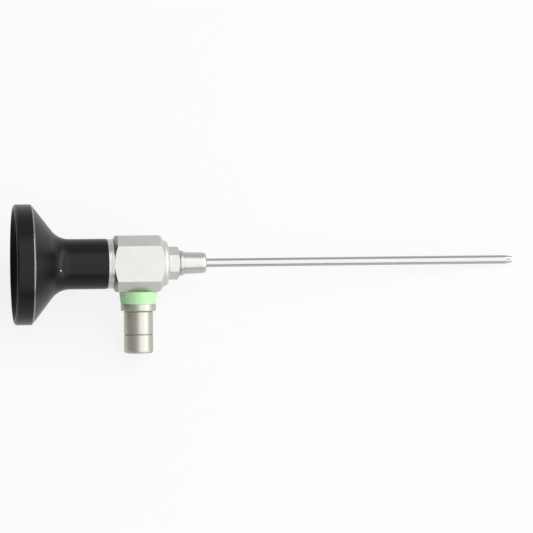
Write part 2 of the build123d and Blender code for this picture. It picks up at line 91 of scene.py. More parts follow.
def radii(node, place, station=None):
    """A CAD node's smallest and largest radius, over all of it or at one station."""
    found = [
        r for s, r in stations(node, place)
        if station is None or abs(s - station) < SAME_STATION
    ]
    return min(found), max(found)


# Eyecup: flange, cone, fillet and neck outside, funnel inside
FLANGE_LENGTH = 4.57
FLANGE_BEVEL = 0.5
FLANGE_EDGE = 0.35
RIM_WIDTH = 0.5
CUP_ANGLE = math.radians(52.2)
CUP_FILLET = 5.9
NECK_EDGE = 0.4
APERTURE_RADIUS = 4.5
FLOOR_WALL = 2.55
FUNNEL_FLOOR_RADIUS = 5.1
# The funnel's wall: its radius at the mouth, how much of that it loses per millimetre of
# depth, and how thick its blacking counts
FUNNEL_MOUTH_RADIUS = 14.88
FUNNEL_SLOPE = 1.28
FUNNEL_SKIN = 0.15
# The band round the flange's rear edge, whose raised shine is a painted highlight
BAND_STATION = FLANGE_LENGTH + 0.05
BAND_HALF_WIDTH = 0.22
BAND_RADIUS = 15.4


# Materials
MATH = "ShaderNodeMath"
# Noise hardly leaves this range, so it is spread over the whole of what it varies
NOISE_RANGE = {"From Min": 0.3, "From Max": 0.7}


def linear(hex_colour):
    """An sRGB hex colour as Blender's linear RGBA."""
    parts = [int(hex_colour[i:i + 2], 16) / 255 for i in (1, 3, 5)]
    return (*[c / 12.92 if c <= 0.04045 else ((c + 0.055) / 1.055) ** 2.4 for c in parts], 1)


def add(tree, kind, inputs=None, **settings):
    """Adds a node. A socket given as an input is linked, so is a node, by its first output,
    and any other value is set."""
    node = tree.nodes.new(kind)
    for name, value in settings.items():
        setattr(node, name, value)
    for name, value in (inputs or {}).items():
        if isinstance(value, bpy.types.Node):
            value = value.outputs[0]
        if isinstance(value, bpy.types.NodeSocket):
            tree.links.new(value, node.inputs[name])
        else:
            node.inputs[name].default_value = value
    return node


def new_material(name, colour, metallic, roughness, **sockets):
    """A Principled material, its plain values set on the shader's own sockets."""
    material = bpy.data.materials.new(name)
    material.use_nodes = True
    tree = material.node_tree
    shader = tree.nodes["Principled BSDF"]
    shader.inputs["Base Color"].default_value = linear(colour)
    shader.inputs["Metallic"].default_value = metallic
    shader.inputs["Roughness"].default_value = roughness
    for socket, value in sockets.items():
        shader.inputs[socket.replace("_", " ")].default_value = value
    material.diffuse_color = linear(colour)
    return material, tree, shader


def local_coordinates(tree, place):
    """Object coordinates turned into a frame, in millimetres, with X along its axis."""
    back = place.inverted()
    source = add(tree, "ShaderNodeTexCoord")
    return add(tree, "ShaderNodeMapping", {
        "Vector": source.outputs["Object"],
        "Location": back.translation / MM,
        "Rotation": back.to_euler(),
        "Scale": (1 / MM,) * 3,
    }).outputs["Vector"]


def grain(tree, coordinates, size, stretch=(1, 1, 1)):
    """Noise with grains of a real size in millimetres, from 0 to 1."""
    stretched = add(tree, "ShaderNodeMapping", {"Vector": coordinates, "Scale": stretch})
    return add(tree, "ShaderNodeTexNoise", {
        "Vector": stretched.outputs["Vector"],
        "Scale": 1 / size,
        "Detail": 2.0,
    }).outputs["Fac"]


def turning_lines(tree, coordinates, spacing):
    """Lines round the axis, as a lathe tool leaves them, at a spacing in millimetres. Real
    ones are finer, and these are as coarse as they need to be to show."""
    parts = add(tree, "ShaderNodeSeparateXYZ", {"Vector": coordinates})
    return add(tree, "ShaderNodeTexNoise", {
        "W": parts.outputs["X"],
        "Scale": 1 / spacing,
        "Detail": 3.0,
        "Roughness": 0.6,
    }, noise_dimensions="1D").outputs["Fac"]


def round_axis(tree, point):
    """A point's station along X, its vector from the X axis and its distance from it."""
    parts = add(tree, "ShaderNodeSeparateXYZ", {"Vector": point}).outputs
    outwards = add(tree, "ShaderNodeCombineXYZ", {"Y": parts["Y"], "Z": parts["Z"]})
    distance = add(tree, "ShaderNodeVectorMath", {0: outwards}, operation="LENGTH")
    return parts["X"], outwards, distance.outputs["Value"]


def vary(tree, shader, pattern, colours=None, roughness=None, depth=None):
    """Lets a pattern vary a shader: its colour between two hex colours, its roughness between
    two values, and its skin by bump of a real depth in millimetres."""
    if colours:
        dark, light = colours
        mix = add(tree, "ShaderNodeMix", {
            "Factor": pattern,
            "A": linear(dark),
            "B": linear(light),
        }, data_type="RGBA")
        colour = next(s for s in mix.outputs if s.type == "RGBA")
        tree.links.new(colour, shader.inputs["Base Color"])
    if roughness:
        smooth, rough = roughness
        spread = add(tree, "ShaderNodeMapRange", {
            "Value": pattern,
            **NOISE_RANGE,
            "To Min": smooth,
            "To Max": rough,
        })
        tree.links.new(spread.outputs["Result"], shader.inputs["Roughness"])
    if depth:
        bump = add(tree, "ShaderNodeBump", {
            "Height": pattern,
            "Distance": depth * MM,
            "Strength": 1.0,
        })
        tree.links.new(bump.outputs["Normal"], shader.inputs["Normal"])


def make_black_peek():
    """Polyether ether ketone, filled black and moulded: a satin skin with a very fine grain.
    A band round the flange's rear edge has more shine and less roughness, a painted highlight,
    and the funnel inside is blacked against stray light and hardly shines."""
    material, tree, shader = new_material("black_peek_moulded", "#070809", 0, 0.3)
    here = local_coordinates(tree, OPTICAL)
    skin = grain(tree, here, 0.12)
    vary(tree, shader, grain(tree, here, 4.0), colours=("#040506", "#07090a"))
    vary(tree, shader, skin, depth=0.0012)

    station, _, radius = round_axis(tree, here)
    # The band round the flange's rear edge, where raised shine paints in a highlight
    in_band = add(tree, MATH, {
        0: station,
        1: BAND_STATION,
        2: BAND_HALF_WIDTH,
    }, operation="COMPARE")
    outside = add(tree, MATH, {0: radius, 1: BAND_RADIUS}, operation="GREATER_THAN")
    highlight_band = add(tree, MATH, {0: in_band, 1: outside}, operation="MULTIPLY")
    at_mouth = add(tree, MATH, {0: station, 1: FUNNEL_SLOPE, 2: radius}, operation="MULTIPLY_ADD")
    blacked = add(tree, MATH, {
        0: at_mouth,
        1: FUNNEL_MOUTH_RADIUS + FUNNEL_SKIN,
    }, operation="LESS_THAN")

    smooth, rough, smoother_in_band = 0.27, 0.34, 0.2
    satin = add(tree, "ShaderNodeMapRange", {
        "Value": skin,
        **NOISE_RANGE,
        "To Min": smooth,
        "To Max": rough,
    })
    roughness = add(tree, MATH, {
        0: highlight_band,
        1: -smoother_in_band,
        2: satin,
    }, operation="MULTIPLY_ADD")
    skin_shine, more_in_band, less_in_funnel = 0.22, 2.6, 0.19
    shine = add(tree, MATH, {
        0: highlight_band,
        1: more_in_band,
        2: skin_shine,
    }, operation="MULTIPLY_ADD")
    shine = add(tree, MATH, {0: blacked, 1: -less_in_funnel, 2: shine}, operation="MULTIPLY_ADD")
    tree.links.new(roughness.outputs[0], shader.inputs["Roughness"])
    tree.links.new(shine.outputs[0], shader.inputs["Specular IOR Level"])
    return material


def make_blasted_steel():
    """Stainless steel, bead blasted: an even pale satin with a fine grain and no direction."""
    material, tree, shader = new_material("stainless_steel_bead_blasted", "#c9c8c4", 1, 0.5)
    here = local_coordinates(tree, OPTICAL)
    vary(tree, shader, grain(tree, here, 3.0), colours=("#c5c4bf", "#cecdca"))
    vary(tree, shader, grain(tree, here, 0.09), roughness=(0.47, 0.55), depth=0.002)
    return material


def make_shaded_end_steel():
    """Stainless steel, turned to a smooth face, its colour darkened as painted shade: dark beside
    the satin flats, and clear enough to mirror the black cup."""
    # The dark base colour is painted shade on the faces turned to the eyecup
    material, tree, shader = new_material("stainless_steel_faced_painted_shade", "#74736b", 1, 0.16)
    smears = grain(tree, local_coordinates(tree, OPTICAL), 0.3)
    vary(tree, shader, smears, roughness=(0.17, 0.24))
    return material


def make_turned_steel(name, place, spacing, roughness, colours):
    """Stainless steel off the lathe: fine lines round the axis that draw the light out."""
    material, tree, shader = new_material(name, colours[1], 1, roughness, Anisotropic=0.6)
    lines = turning_lines(tree, local_coordinates(tree, place), spacing)
    vary(tree, shader, lines, colours, (roughness - 0.05, roughness + 0.07), depth=0.0015)
    tangent = add(tree, "ShaderNodeTangent", direction_type="UV_MAP", uv_map="turning_map")
    tree.links.new(tangent.outputs["Tangent"], shader.inputs["Tangent"])
    return material


def make_drawn_steel():
    """Stainless tube, drawn and polished: bright, with faint streaks along its length."""
    material, tree, shader = new_material("stainless_steel_drawn_tube", "#b1b0ae", 1, 0.2)
    streaks = grain(tree, local_coordinates(tree, OPTICAL), 0.15, stretch=(0.02, 1, 1))
    vary(tree, shader, streaks, ("#acaba9", "#b6b5b3"), (0.17, 0.24), depth=0.0004)
    return material


def make_green_ring():
    """Pale green polypropylene, moulded: soft gloss and a little light under the skin."""
    material, tree, shader = new_material(
        "green_polypropylene_moulded", "#a9d3a0", 0, 0.42, IOR=1.49, Subsurface_Weight=0.12,
        Subsurface_Radius=(0.6 * MM, 1.0 * MM, 0.6 * MM), Subsurface_Scale=1.0,
    )
    here = local_coordinates(tree, LIGHT_POST)
    vary(tree, shader, grain(tree, here, 2.5), colours=("#a4d09b", "#afd8a7"))
    vary(tree, shader, grain(tree, here, 0.2), depth=0.0015)
    return material


def make_white_enamel():
    """White enamel, fired on the pin's head: glossy and a little domed."""
    material, tree, shader = new_material("white_enamel_fired", "#e8e8e4", 0, 0.25, Coat_Weight=0.4)
    skin = grain(tree, local_coordinates(tree, OPTICAL), 0.15)
    vary(tree, shader, skin, colours=("#e2e2dd", "#eeeeea"), depth=0.001)
    return material


def make_coated_glass(name, tint, index):
    """Polished optical glass or sapphire, with the faint blue of its coating."""
    material, tree, shader = new_material(
        name, tint, 0, 0.03, IOR=index, Transmission_Weight=1.0,
        Coat_Weight=0.6, Coat_Tint=linear("#b9c8f0"),
    )
    wipe = grain(tree, local_coordinates(tree, OPTICAL), 1.2)
    vary(tree, shader, wipe, roughness=(0.02, 0.05))
    return material


def make_fibre_glass():
    """Drawn glass fibres, cut and polished: each end carries light, some better than others."""
    material, tree, shader = new_material(
        "glass_fibre_polished_ends", "#d9cfae", 0, 0.18, Coat_Weight=0.5,
    )
    each = grain(tree, local_coordinates(tree, LIGHT_POST), 0.06)
    vary(tree, shader, each, colours=("#b9ab84", "#eee7cf"))
    return material


def make_fibre_cement():
    """Amber epoxy between the fibres, polished flat with them and darker than their ends."""
    material, tree, shader = new_material("epoxy_amber_polished", "#5c4a2a", 0, 0.3)
    cloud = grain(tree, local_coordinates(tree, LIGHT_POST), 0.3)
    vary(tree, shader, cloud, colours=("#52411f", "#6a5733"))
    return material


def make_seal_rubber():
    """Grey silicone rubber, moulded: matt, with a dusty grain, a soft line between the rings."""
    material, tree, shader = new_material("silicone_rubber_moulded", "#8c8c84", 0, 0.7)
    skin = grain(tree, local_coordinates(tree, OPTICAL), 0.1)
    vary(tree, shader, skin, colours=("#86867e", "#94948c"), depth=0.004)
    return material


def make_black_anodised():
    """Aluminium, turned and anodised black: a dark metal sheen with fine lines round it."""
    material, tree, shader = new_material("aluminium_black_anodised", "#26272a", 1, 0.42)
    lines = turning_lines(tree, local_coordinates(tree, OPTICAL), 0.12)
    vary(tree, shader, lines, ("#1f2023", "#2d2e31"), (0.38, 0.48))
    return material


black_peek = make_black_peek()
blasted_steel = make_blasted_steel()
turned_steel = make_turned_steel(
    "stainless_steel_turned", OPTICAL, spacing=0.22, roughness=0.34, colours=("#b8b7b3", "#c7c6c2"),
)
turned_post_steel = make_turned_steel(
    "stainless_steel_turned_post", LIGHT_POST, spacing=0.2, roughness=0.52,
    colours=("#b9b8ae", "#c8c7bd"),
)
shaded_end_steel = make_shaded_end_steel()
drawn_steel = make_drawn_steel()
green_ring = make_green_ring()
white_enamel = make_white_enamel()
sapphire = make_coated_glass("sapphire_polished_coated", "#f4f8fb", index=1.77)
lens_glass = make_coated_glass("crown_glass_polished_coated", "#f5faf6", index=1.52)
fibre_glass = make_fibre_glass()
fibre_cement = make_fibre_cement()
seal_rubber = make_seal_rubber()
black_anodised = make_black_anodised()


# Geometry Nodes trees. Their lengths are metres.
MERGE_DISTANCE = 1e-7
DOME_HEIGHT = 0.4  # of a fibre's radius


def tree_socket(tree, name, kind, value=None, out=False):
    """A named socket of a Geometry Nodes tree."""
    socket = tree.interface.new_socket(name, in_out="OUTPUT" if out else "INPUT", socket_type=kind)
    if value is not None:
        socket.default_value = value


def new_tree(name, inputs):
    """A Geometry Nodes tree with geometry in and out, and named inputs for its sizes."""
    tree = bpy.data.node_groups.new(name, "GeometryNodeTree")
    tree_socket(tree, "Geometry", "NodeSocketGeometry")
    for label, (kind, value) in inputs.items():
        tree_socket(tree, label, kind, value)
    tree_socket(tree, "Geometry", "NodeSocketGeometry", out=True)
    return tree, add(tree, "NodeGroupInput").outputs, add(tree, "NodeGroupOutput")


def end_tree(tree, last, given, result):
    """Ends a tree: the instances are made real and the material is set."""
    real = add(tree, "GeometryNodeRealizeInstances", {"Geometry": last})
    finished = add(tree, "GeometryNodeSetMaterial", {
        "Geometry": real,
        "Material": given["Material"],
    })
    tree.links.new(finished.outputs["Geometry"], result.inputs["Geometry"])


def make_turning_tree():
    """Turns a section, given as a row of points in X and Y, round the X axis. A grid has one
    column for each point of the section and one row for each angle."""
    tree, given, result = new_tree("turn_section_round_axis", {
        "Segments": ("NodeSocketInt", 128),
        "Material": ("NodeSocketMaterial", None),
    })
    count = add(tree, "GeometryNodeAttributeDomainSize", {"Geometry": given["Geometry"]})
    rows = add(tree, MATH, {0: given["Segments"], 1: 1}, operation="ADD")
    grid = add(tree, "GeometryNodeMeshGrid", {
        "Size X": 1.0,
        "Size Y": 1.0,
        "Vertices X": count.outputs["Point Count"],
        "Vertices Y": rows,
    })
    mapped = add(tree, "GeometryNodeStoreNamedAttribute", {
        "Geometry": grid.outputs["Mesh"],
        "Name": "turning_map",
        "Value": grid.outputs["UV Map"],
    }, data_type="FLOAT2", domain="CORNER")

    index = add(tree, "GeometryNodeInputIndex")
    middle = add(tree, MATH, {0: index, 1: 0.5}, operation="ADD")
    share = add(tree, MATH, {0: middle, 1: rows}, operation="DIVIDE")
    column = add(tree, MATH, {0: share}, operation="FLOOR")
    before = add(tree, MATH, {0: column, 1: rows}, operation="MULTIPLY")
    row = add(tree, MATH, {0: index, 1: before}, operation="SUBTRACT")

    point = add(tree, "GeometryNodeSampleIndex", {
        "Geometry": given["Geometry"],
        "Value": add(tree, "GeometryNodeInputPosition"),
        "Index": column,
    }, data_type="FLOAT_VECTOR", domain="POINT")
    parts = add(tree, "ShaderNodeSeparateXYZ", {"Vector": point.outputs["Value"]}).outputs
    turn = add(tree, MATH, {0: row, 1: given["Segments"]}, operation="DIVIDE")
    angle = add(tree, MATH, {0: turn, 1: 2 * math.pi}, operation="MULTIPLY")
    cosine = add(tree, MATH, {0: angle}, operation="COSINE")
    sine = add(tree, MATH, {0: angle}, operation="SINE")
    position = add(tree, "ShaderNodeCombineXYZ", {
        "X": parts["X"],
        "Y": add(tree, MATH, {0: parts["Y"], 1: cosine}, operation="MULTIPLY"),
        "Z": add(tree, MATH, {0: parts["Y"], 1: sine}, operation="MULTIPLY"),
    })
    moved = add(tree, "GeometryNodeSetPosition", {
        "Geometry": mapped.outputs["Geometry"],
        "Position": position.outputs["Vector"],
    })
    merged = add(tree, "GeometryNodeMergeByDistance", {
        "Geometry": moved.outputs["Geometry"],
        "Distance": MERGE_DISTANCE,
    })
    end_tree(tree, merged, given, result)
    return tree


def make_groove_tree():
    """Cuts a row of fine turned grooves into the outer surface between two stations."""
    tree, given, result = new_tree("cut_turned_grooves", {
        "From": ("NodeSocketFloat", 0.0),
        "To": ("NodeSocketFloat", 0.0),
        "Pitch": ("NodeSocketFloat", 0.0004),
        "Depth": ("NodeSocketFloat", 0.0),
        "Radius": ("NodeSocketFloat", 0.0),
        "Material": ("NodeSocketMaterial", None),
    })
    station, outwards, radius = round_axis(tree, add(tree, "GeometryNodeInputPosition"))

    along = add(tree, MATH, {0: station, 1: given["From"]}, operation="SUBTRACT")
    pitches = add(tree, MATH, {0: along, 1: given["Pitch"]}, operation="DIVIDE")
    angle = add(tree, MATH, {0: pitches, 1: 2 * math.pi}, operation="MULTIPLY")
    swing = add(tree, MATH, {0: angle}, operation="COSINE")
    half_swing = add(tree, MATH, {0: 0.5, 1: swing}, operation="MULTIPLY")
    wave = add(tree, MATH, {0: 0.5, 1: half_swing}, operation="SUBTRACT")

    started = add(tree, MATH, {0: station, 1: given["From"]}, operation="GREATER_THAN")
    not_ended = add(tree, MATH, {0: station, 1: given["To"]}, operation="LESS_THAN")
    between = add(tree, MATH, {0: started, 1: not_ended}, operation="MULTIPLY")
    outer = add(tree, MATH, {0: radius, 1: given["Radius"]}, operation="GREATER_THAN")
    chosen = add(tree, MATH, {0: between, 1: outer}, operation="MULTIPLY")

    share = add(tree, MATH, {0: given["Depth"], 1: radius}, operation="DIVIDE")
    cut = add(tree, MATH, {0: wave, 1: share}, operation="MULTIPLY")
    inwards = add(tree, "ShaderNodeVectorMath", {
        0: outwards,
        "Scale": add(tree, MATH, {0: cut, 1: -1}, operation="MULTIPLY"),
    }, operation="SCALE")
    moved = add(tree, "GeometryNodeSetPosition", {
        "Geometry": given["Geometry"],
        "Selection": chosen,
        "Offset": inwards.outputs["Vector"],
    })
    end_tree(tree, moved, given, result)
    return tree


def make_fibre_tree():
    """Sets small domed fibre ends on the points of a mesh, each facing along X."""
    tree, given, result = new_tree("fibre_ends_on_points", {
        "Fibre Radius": ("NodeSocketFloat", 0.00002),
        "Material": ("NodeSocketMaterial", None),
    })
    dome = add(tree, "GeometryNodeMeshUVSphere", {
        "Segments": 8,
        "Rings": 4,
        "Radius": given["Fibre Radius"],
    })
    flat = add(tree, "GeometryNodeTransform", {
        "Geometry": dome.outputs["Mesh"],
        "Scale": (DOME_HEIGHT, 1, 1),
    })
    smooth = add(tree, "GeometryNodeSetShadeSmooth", {"Geometry": flat.outputs["Geometry"]})
    ends = add(tree, "GeometryNodeInstanceOnPoints", {
        "Points": given["Geometry"],
        "Instance": smooth.outputs["Geometry"],
    })
    end_tree(tree, ends, given, result)
    return tree


turning_tree = make_turning_tree()
groove_tree = make_groove_tree()
fibre_tree = make_fibre_tree()


# Pieces
SHARP_ANGLE = math.radians(28)
GROOVE_STEPS = 8
OUTER_SHARE = 0.8  # of a piece's largest radius: its outer surface lies beyond
SAME_POINT = 1e-6  # metres
FLAT_ANGLE = math.radians(0.3)
REARWARD = -0.2  # a face looks back to the eyecup if its normal's part along the axis is less

# Roundings of edges
EDGE = 0.12
BLOCK_EDGE = 0.1
TURNED_EDGE = 0.1
SHOULDER_EDGE = 0.08
FINE_EDGE = 0.06


def plain_mesh(piece):
    """The evaluated object as a plain mesh, with its modifiers gone."""
    bpy.context.view_layer.update()
    depsgraph = bpy.context.evaluated_depsgraph_get()
    mesh = bpy.data.meshes.new_from_object(piece.evaluated_get(depsgraph), depsgraph=depsgraph)
    piece.modifiers.clear()
    piece.data = mesh
    mesh.name = piece.name


def new_piece(name, mesh):
    """A new object in the scene."""
    piece = bpy.data.objects.new(name, mesh)
    bpy.context.scene.collection.objects.link(piece)
    return piece


def run_tree(tree, piece, inputs):
    """Runs a tree on a piece, with its inputs set by identifier, and keeps the plain result."""
    modifier = piece.modifiers.new(tree.name, "NODES")
    modifier.node_group = tree
    identifiers = {s.name: s.identifier for s in tree.interface.items_tree if s.in_out == "INPUT"}
    for label, value in inputs.items():
        modifier[identifiers[label]] = value
    plain_mesh(piece)


def rounded(corners, steps):
    """A closed outline from corners given as (station, radius, rounding), with each rounded
    corner as an arc."""
    outline = []
    for number, corner in enumerate(corners):
        here = Vector(corner[:2])
        rounding = corner[2] if len(corner) > 2 else 0
        if not rounding:
            outline.append(here)
            continue
        before = Vector(corners[number - 1][:2]) - here
        after = Vector(corners[(number + 1) % len(corners)][:2]) - here
        before.normalize()
        after.normalize()
        half = before.angle(after) / 2
        centre = here + (before + after).normalized() * (rounding / math.sin(half))
        start = here + before * (rounding / math.tan(half)) - centre
        end = here + after * (rounding / math.tan(half)) - centre
        for step in range(steps + 1):
            spoke = start.slerp(end, step / steps).normalized()
            outline.append(centre + spoke * rounding)
    return outline


def with_groove_points(outline, first, last, step):
    """Adds points to the outline's outer stretch between two stations, for fine grooves."""
    outer = OUTER_SHARE * max(p.y for p in outline)
    result = []
    for here, after in zip(outline, outline[1:] + outline[:1]):
        result.append(here)
        low, high = sorted((here.x, after.x))
        low, high = max(low, first), min(high, last)
        if high - low <= step or min(here.y, after.y) < outer:
            continue
        slope = (after.y - here.y) / (after.x - here.x)
        steps = round((high - low) / step)
        places = [low + (high - low) * i / steps for i in range(steps + 1)]
        if after.x < here.x:
            places.reverse()
        result += [Vector((s, here.y + (s - here.x) * slope)) for s in places]
    return result


def finish_piece(piece, place, slot, *replaced):
    """Puts a plain mesh in its place under the root body and hides the CAD nodes it replaces."""
    piece.data.transform(place)
    piece.data.shade_smooth()
    piece.data.set_sharp_from_angle(angle=SHARP_ANGLE)
    weigh = piece.modifiers.new("weigh_normals", "WEIGHTED_NORMAL")
    weigh.keep_sharp = True
    plain_mesh(piece)
    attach(piece, "root")
    if replaced:
        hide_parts(*replaced)


def turned(name, node, place, corners, material, slot, segments=128, steps=4, grooves=()):
    """A turned piece in a CAD node's stead, from its closed half section. The corners are
    (station, radius) or (station, radius, rounding), each rounding has so many steps, and each
    row of grooves is (from, to, pitch, depth)."""
    outline = rounded(corners, steps)
    for first, last, pitch, depth in grooves:
        outline = with_groove_points(outline, first, last, pitch / GROOVE_STEPS)
    top = max(p.y for p in outline)
    points = [(p.x * MM, p.y * MM, 0) for p in outline + outline[:1]]
    section = bpy.data.meshes.new(name)
    section.from_pydata(points, [(i, i + 1) for i in range(len(points) - 1)], [])
    piece = new_piece(name, section)
    run_tree(turning_tree, piece, {"Segments": segments, "Material": material})
    for first, last, pitch, depth in grooves:
        run_tree(groove_tree, piece, {
            "From": first * MM,
            "To": last * MM,
            "Pitch": pitch * MM,
            "Depth": depth * MM,
            "Radius": OUTER_SHARE * top * MM,
            "Material": material,
        })
    finish_piece(piece, place, slot, node)


def broken_edges(name, node, width, material, rear_material, slot):
    """A copy of a CAD node with its sharp edges broken, as a deburring wheel leaves them. Its
    faces that look back to the eyecup have a material of their own, which on the block is darker as
    painted shade."""
    source = bmesh.new()
    source.from_mesh(nodes[node].data)
    bmesh.ops.remove_doubles(source, verts=source.verts, dist=SAME_POINT)
    bmesh.ops.dissolve_limit(source, angle_limit=FLAT_ANGLE, verts=source.verts, edges=source.edges)
    mesh = bpy.data.meshes.new(name)
    source.to_mesh(mesh)
    source.free()
    mesh.materials.append(material)
    piece = new_piece(name, mesh)
    bevel = piece.modifiers.new("break_edges", "BEVEL")
    bevel.width = width * MM
    bevel.segments = 3
    bevel.limit_method = "ANGLE"
    bevel.angle_limit = SHARP_ANGLE
    plain_mesh(piece)
    piece.data.materials.append(rear_material)
    # Faces that look back to the eyecup take the rear material, which on the block is darker as
    # painted shade
    for face in piece.data.polygons:
        face.material_index = int(face.normal.dot(AXIS) < REARWARD)
    finish_piece(piece, Matrix.Identity(4), slot, node)


# Eyecup, moulded in one piece
cup_end = reach("eyecup", OPTICAL)[1]
flange_radius = radii("eyecup", OPTICAL)[1]
neck_radius = radii("eyecup", OPTICAL, cup_end - NECK_EDGE)[1]
window_front = reach("window_retaining_ring", OPTICAL)[0]
seat_radius = radii("collar_ring", OPTICAL)[0]
cone_end = FLANGE_LENGTH + (flange_radius - neck_radius) / math.tan(CUP_ANGLE)
fillet_end = cone_end + CUP_FILLET * math.tan(CUP_ANGLE / 2)
funnel_depth = window_front - FLOOR_WALL

turned("eyecup_moulding", "eyecup", OPTICAL, [
    (0, flange_radius - FLANGE_BEVEL, EDGE),
    (0, flange_radius - FLANGE_BEVEL - RIM_WIDTH, EDGE),
    (funnel_depth, FUNNEL_FLOOR_RADIUS, EDGE),
    (funnel_depth, APERTURE_RADIUS, EDGE),
    (window_front, APERTURE_RADIUS),
    (window_front, seat_radius),
    (cup_end, seat_radius),
    (cup_end, neck_radius, NECK_EDGE),
    (cone_end, neck_radius, CUP_FILLET),
    (FLANGE_LENGTH, flange_radius, FLANGE_EDGE),
    (FLANGE_BEVEL, flange_radius, EDGE),
], black_peek, "black_peek", segments=192, steps=10)

# Index mark, the enamelled head of a pin set square to the cup's fillet
MARK_RADIUS = 0.18
MARK_PROUD = 0.03
MARK_SHOULDER = 0.6 * MARK_PROUD
MARK_EDGE = 0.02
MARK_DEPTH = 0.3
mark_low, mark_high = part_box("index_mark")
mark_here = OPTICAL.inverted() @ ((mark_low + mark_high) / 2)
mark_ray = Vector((0, mark_here.y, mark_here.z)).normalized()
mark_station = mark_here.x / MM
mark_lean = math.asin((fillet_end - mark_station) / CUP_FILLET)
fillet_centre = neck_radius + CUP_FILLET
mark_height = fillet_centre - CUP_FILLET * math.cos(mark_lean)
mark_out = Vector((math.sin(mark_lean), 0, 0)) + mark_ray * math.cos(mark_lean)
mark_place = OPTICAL @ axes_matrix(
    Vector((mark_station, 0, 0)) * MM + mark_ray * mark_height * MM,
    mark_out,
    mark_out.cross(Vector((1, 0, 0)).cross(mark_out)).normalized(),
)
turned("index_mark_head", "index_mark", mark_place, [
    (-MARK_DEPTH, 0),
    (MARK_PROUD, 0),
    (MARK_SHOULDER, MARK_RADIUS, MARK_EDGE),
    (-MARK_DEPTH, MARK_RADIUS),
], white_enamel, "white_enamel", segments=32)

# Collar ring, with fine turned grooves between two plain lands
COLLAR_LAND = 0.2
COLLAR_GROOVE_PITCH = 0.38
COLLAR_GROOVE_DEPTH = 0.05
collar_start, collar_end = reach("collar_ring", OPTICAL)
collar_radius = radii("collar_ring", OPTICAL)[1]
turned("collar_ring_turned", "collar_ring", OPTICAL, [
    (collar_start, seat_radius),
    (collar_end, seat_radius),
    (collar_end, collar_radius, TURNED_EDGE),
    (collar_start, collar_radius, TURNED_EDGE),
], turned_steel, "satin_steel", segments=160, grooves=[(
    collar_start + COLLAR_LAND, collar_end - COLLAR_LAND, COLLAR_GROOVE_PITCH, COLLAR_GROOVE_DEPTH,
)])

# Body block and sheath nut, as machined, with their edges broken. The block's rear ends are
# faced on the lathe, and their darker colour is painted shade.
broken_edges(
    "body_block_machined", "body_block", BLOCK_EDGE, blasted_steel, shaded_end_steel, "satin_steel",
)
broken_edges(
    "sheath_nut_machined", "sheath_nut", SHOULDER_EDGE, blasted_steel, blasted_steel, "satin_steel",
)

# Sheath ring, undercut where it meets the nut
SEAM_WIDTH = 0.2
SEAM_DEPTH = 0.4
ring_start, ring_end = reach("sheath_ring", OPTICAL)
stem_radius, ring_radius = radii("sheath_ring", OPTICAL)
turned("sheath_ring_turned", "sheath_ring", OPTICAL, [
    (ring_start, stem_radius),
    (ring_end, stem_radius),
    (ring_end, ring_radius, TURNED_EDGE),
    (ring_start + SEAM_WIDTH, ring_radius, FINE_EDGE),
    (ring_start + SEAM_WIDTH, ring_radius - SEAM_DEPTH),
    (ring_start, ring_radius - SEAM_DEPTH),
], turned_steel, "satin_steel")

# Sheath hub, the tapered nose that holds the shaft, with fine turned grooves
HUB_SMALL_RADIUS = 2.72
HUB_NOSE = 0.85
HUB_BORE_EDGE = 0.05
HUB_GROOVES_BEFORE_MIDDLE = 1.9
HUB_GROOVES_AFTER_MIDDLE = 1.6
HUB_GROOVE_PITCH = 0.5
HUB_GROOVE_DEPTH = 0.016
hub_end = reach("sheath_hub", OPTICAL)[1]
hub_large = radii("sheath_hub", OPTICAL, ring_end)[1]
hub_middle = (ring_end + hub_end) / 2
sheath_start, tip = reach("sheath_tube", OPTICAL)
bore_radius, sheath_radius = radii("sheath_tube", OPTICAL, sheath_start)
turned("sheath_hub_turned", "sheath_hub", OPTICAL, [
    (ring_end, sheath_radius),
    (hub_end, sheath_radius, HUB_BORE_EDGE),
    (hub_end, HUB_SMALL_RADIUS, HUB_NOSE),
    (ring_end, hub_large, SHOULDER_EDGE),
], turned_steel, "satin_steel", steps=8, grooves=[(
    hub_middle - HUB_GROOVES_BEFORE_MIDDLE, hub_middle + HUB_GROOVES_AFTER_MIDDLE,
    HUB_GROOVE_PITCH, HUB_GROOVE_DEPTH,
)])

# Shaft, drawn in to a nose at the tip
NOSE_LENGTH = 1.9
NOSE_CURVE = 3.0
NOSE_BORE_CURVE = 1.0
tip_wall, nose_radius = radii("sheath_tube", OPTICAL, tip)
nose_start = tip - NOSE_LENGTH
turned("sheath_tube_drawn", "sheath_tube", OPTICAL, [
    (sheath_start, bore_radius),
    (nose_start, bore_radius, NOSE_BORE_CURVE),
    (tip, tip_wall, FINE_EDGE),
    (tip, nose_radius, FINE_EDGE),
    (nose_start, sheath_radius, NOSE_CURVE),
    (sheath_start, sheath_radius),
], drawn_steel, "shaft_steel", segments=96, steps=6)

# Light post: code ring, post collar, the two adapters and the window at the end
CODE_RING_EDGE = 0.15
code_start, code_end = reach("code_ring", LIGHT_POST)
core_radius = radii("code_ring", LIGHT_POST)[0]
code_large = radii("code_ring", LIGHT_POST, code_start)[1]
code_small = radii("code_ring", LIGHT_POST, code_end)[1]
turned("code_ring_moulded", "code_ring", LIGHT_POST, [
    (code_start, core_radius),
    (code_end, core_radius),
    (code_end, code_small, CODE_RING_EDGE),
    (code_start, code_large, CODE_RING_EDGE),
], green_ring, "green_plastic")

POST_COLLAR_ROUNDING = 0.3
post_collar_start, post_collar_end = reach("post_collar", LIGHT_POST)
post_collar_radius = radii("post_collar", LIGHT_POST)[1]
turned("post_collar_turned", "post_collar", LIGHT_POST, [
    (post_collar_start, core_radius),
    (post_collar_end, core_radius),
    (post_collar_end, post_collar_radius, POST_COLLAR_ROUNDING),
    (post_collar_start, post_collar_radius, SHOULDER_EDGE),
], turned_post_steel, "satin_steel")

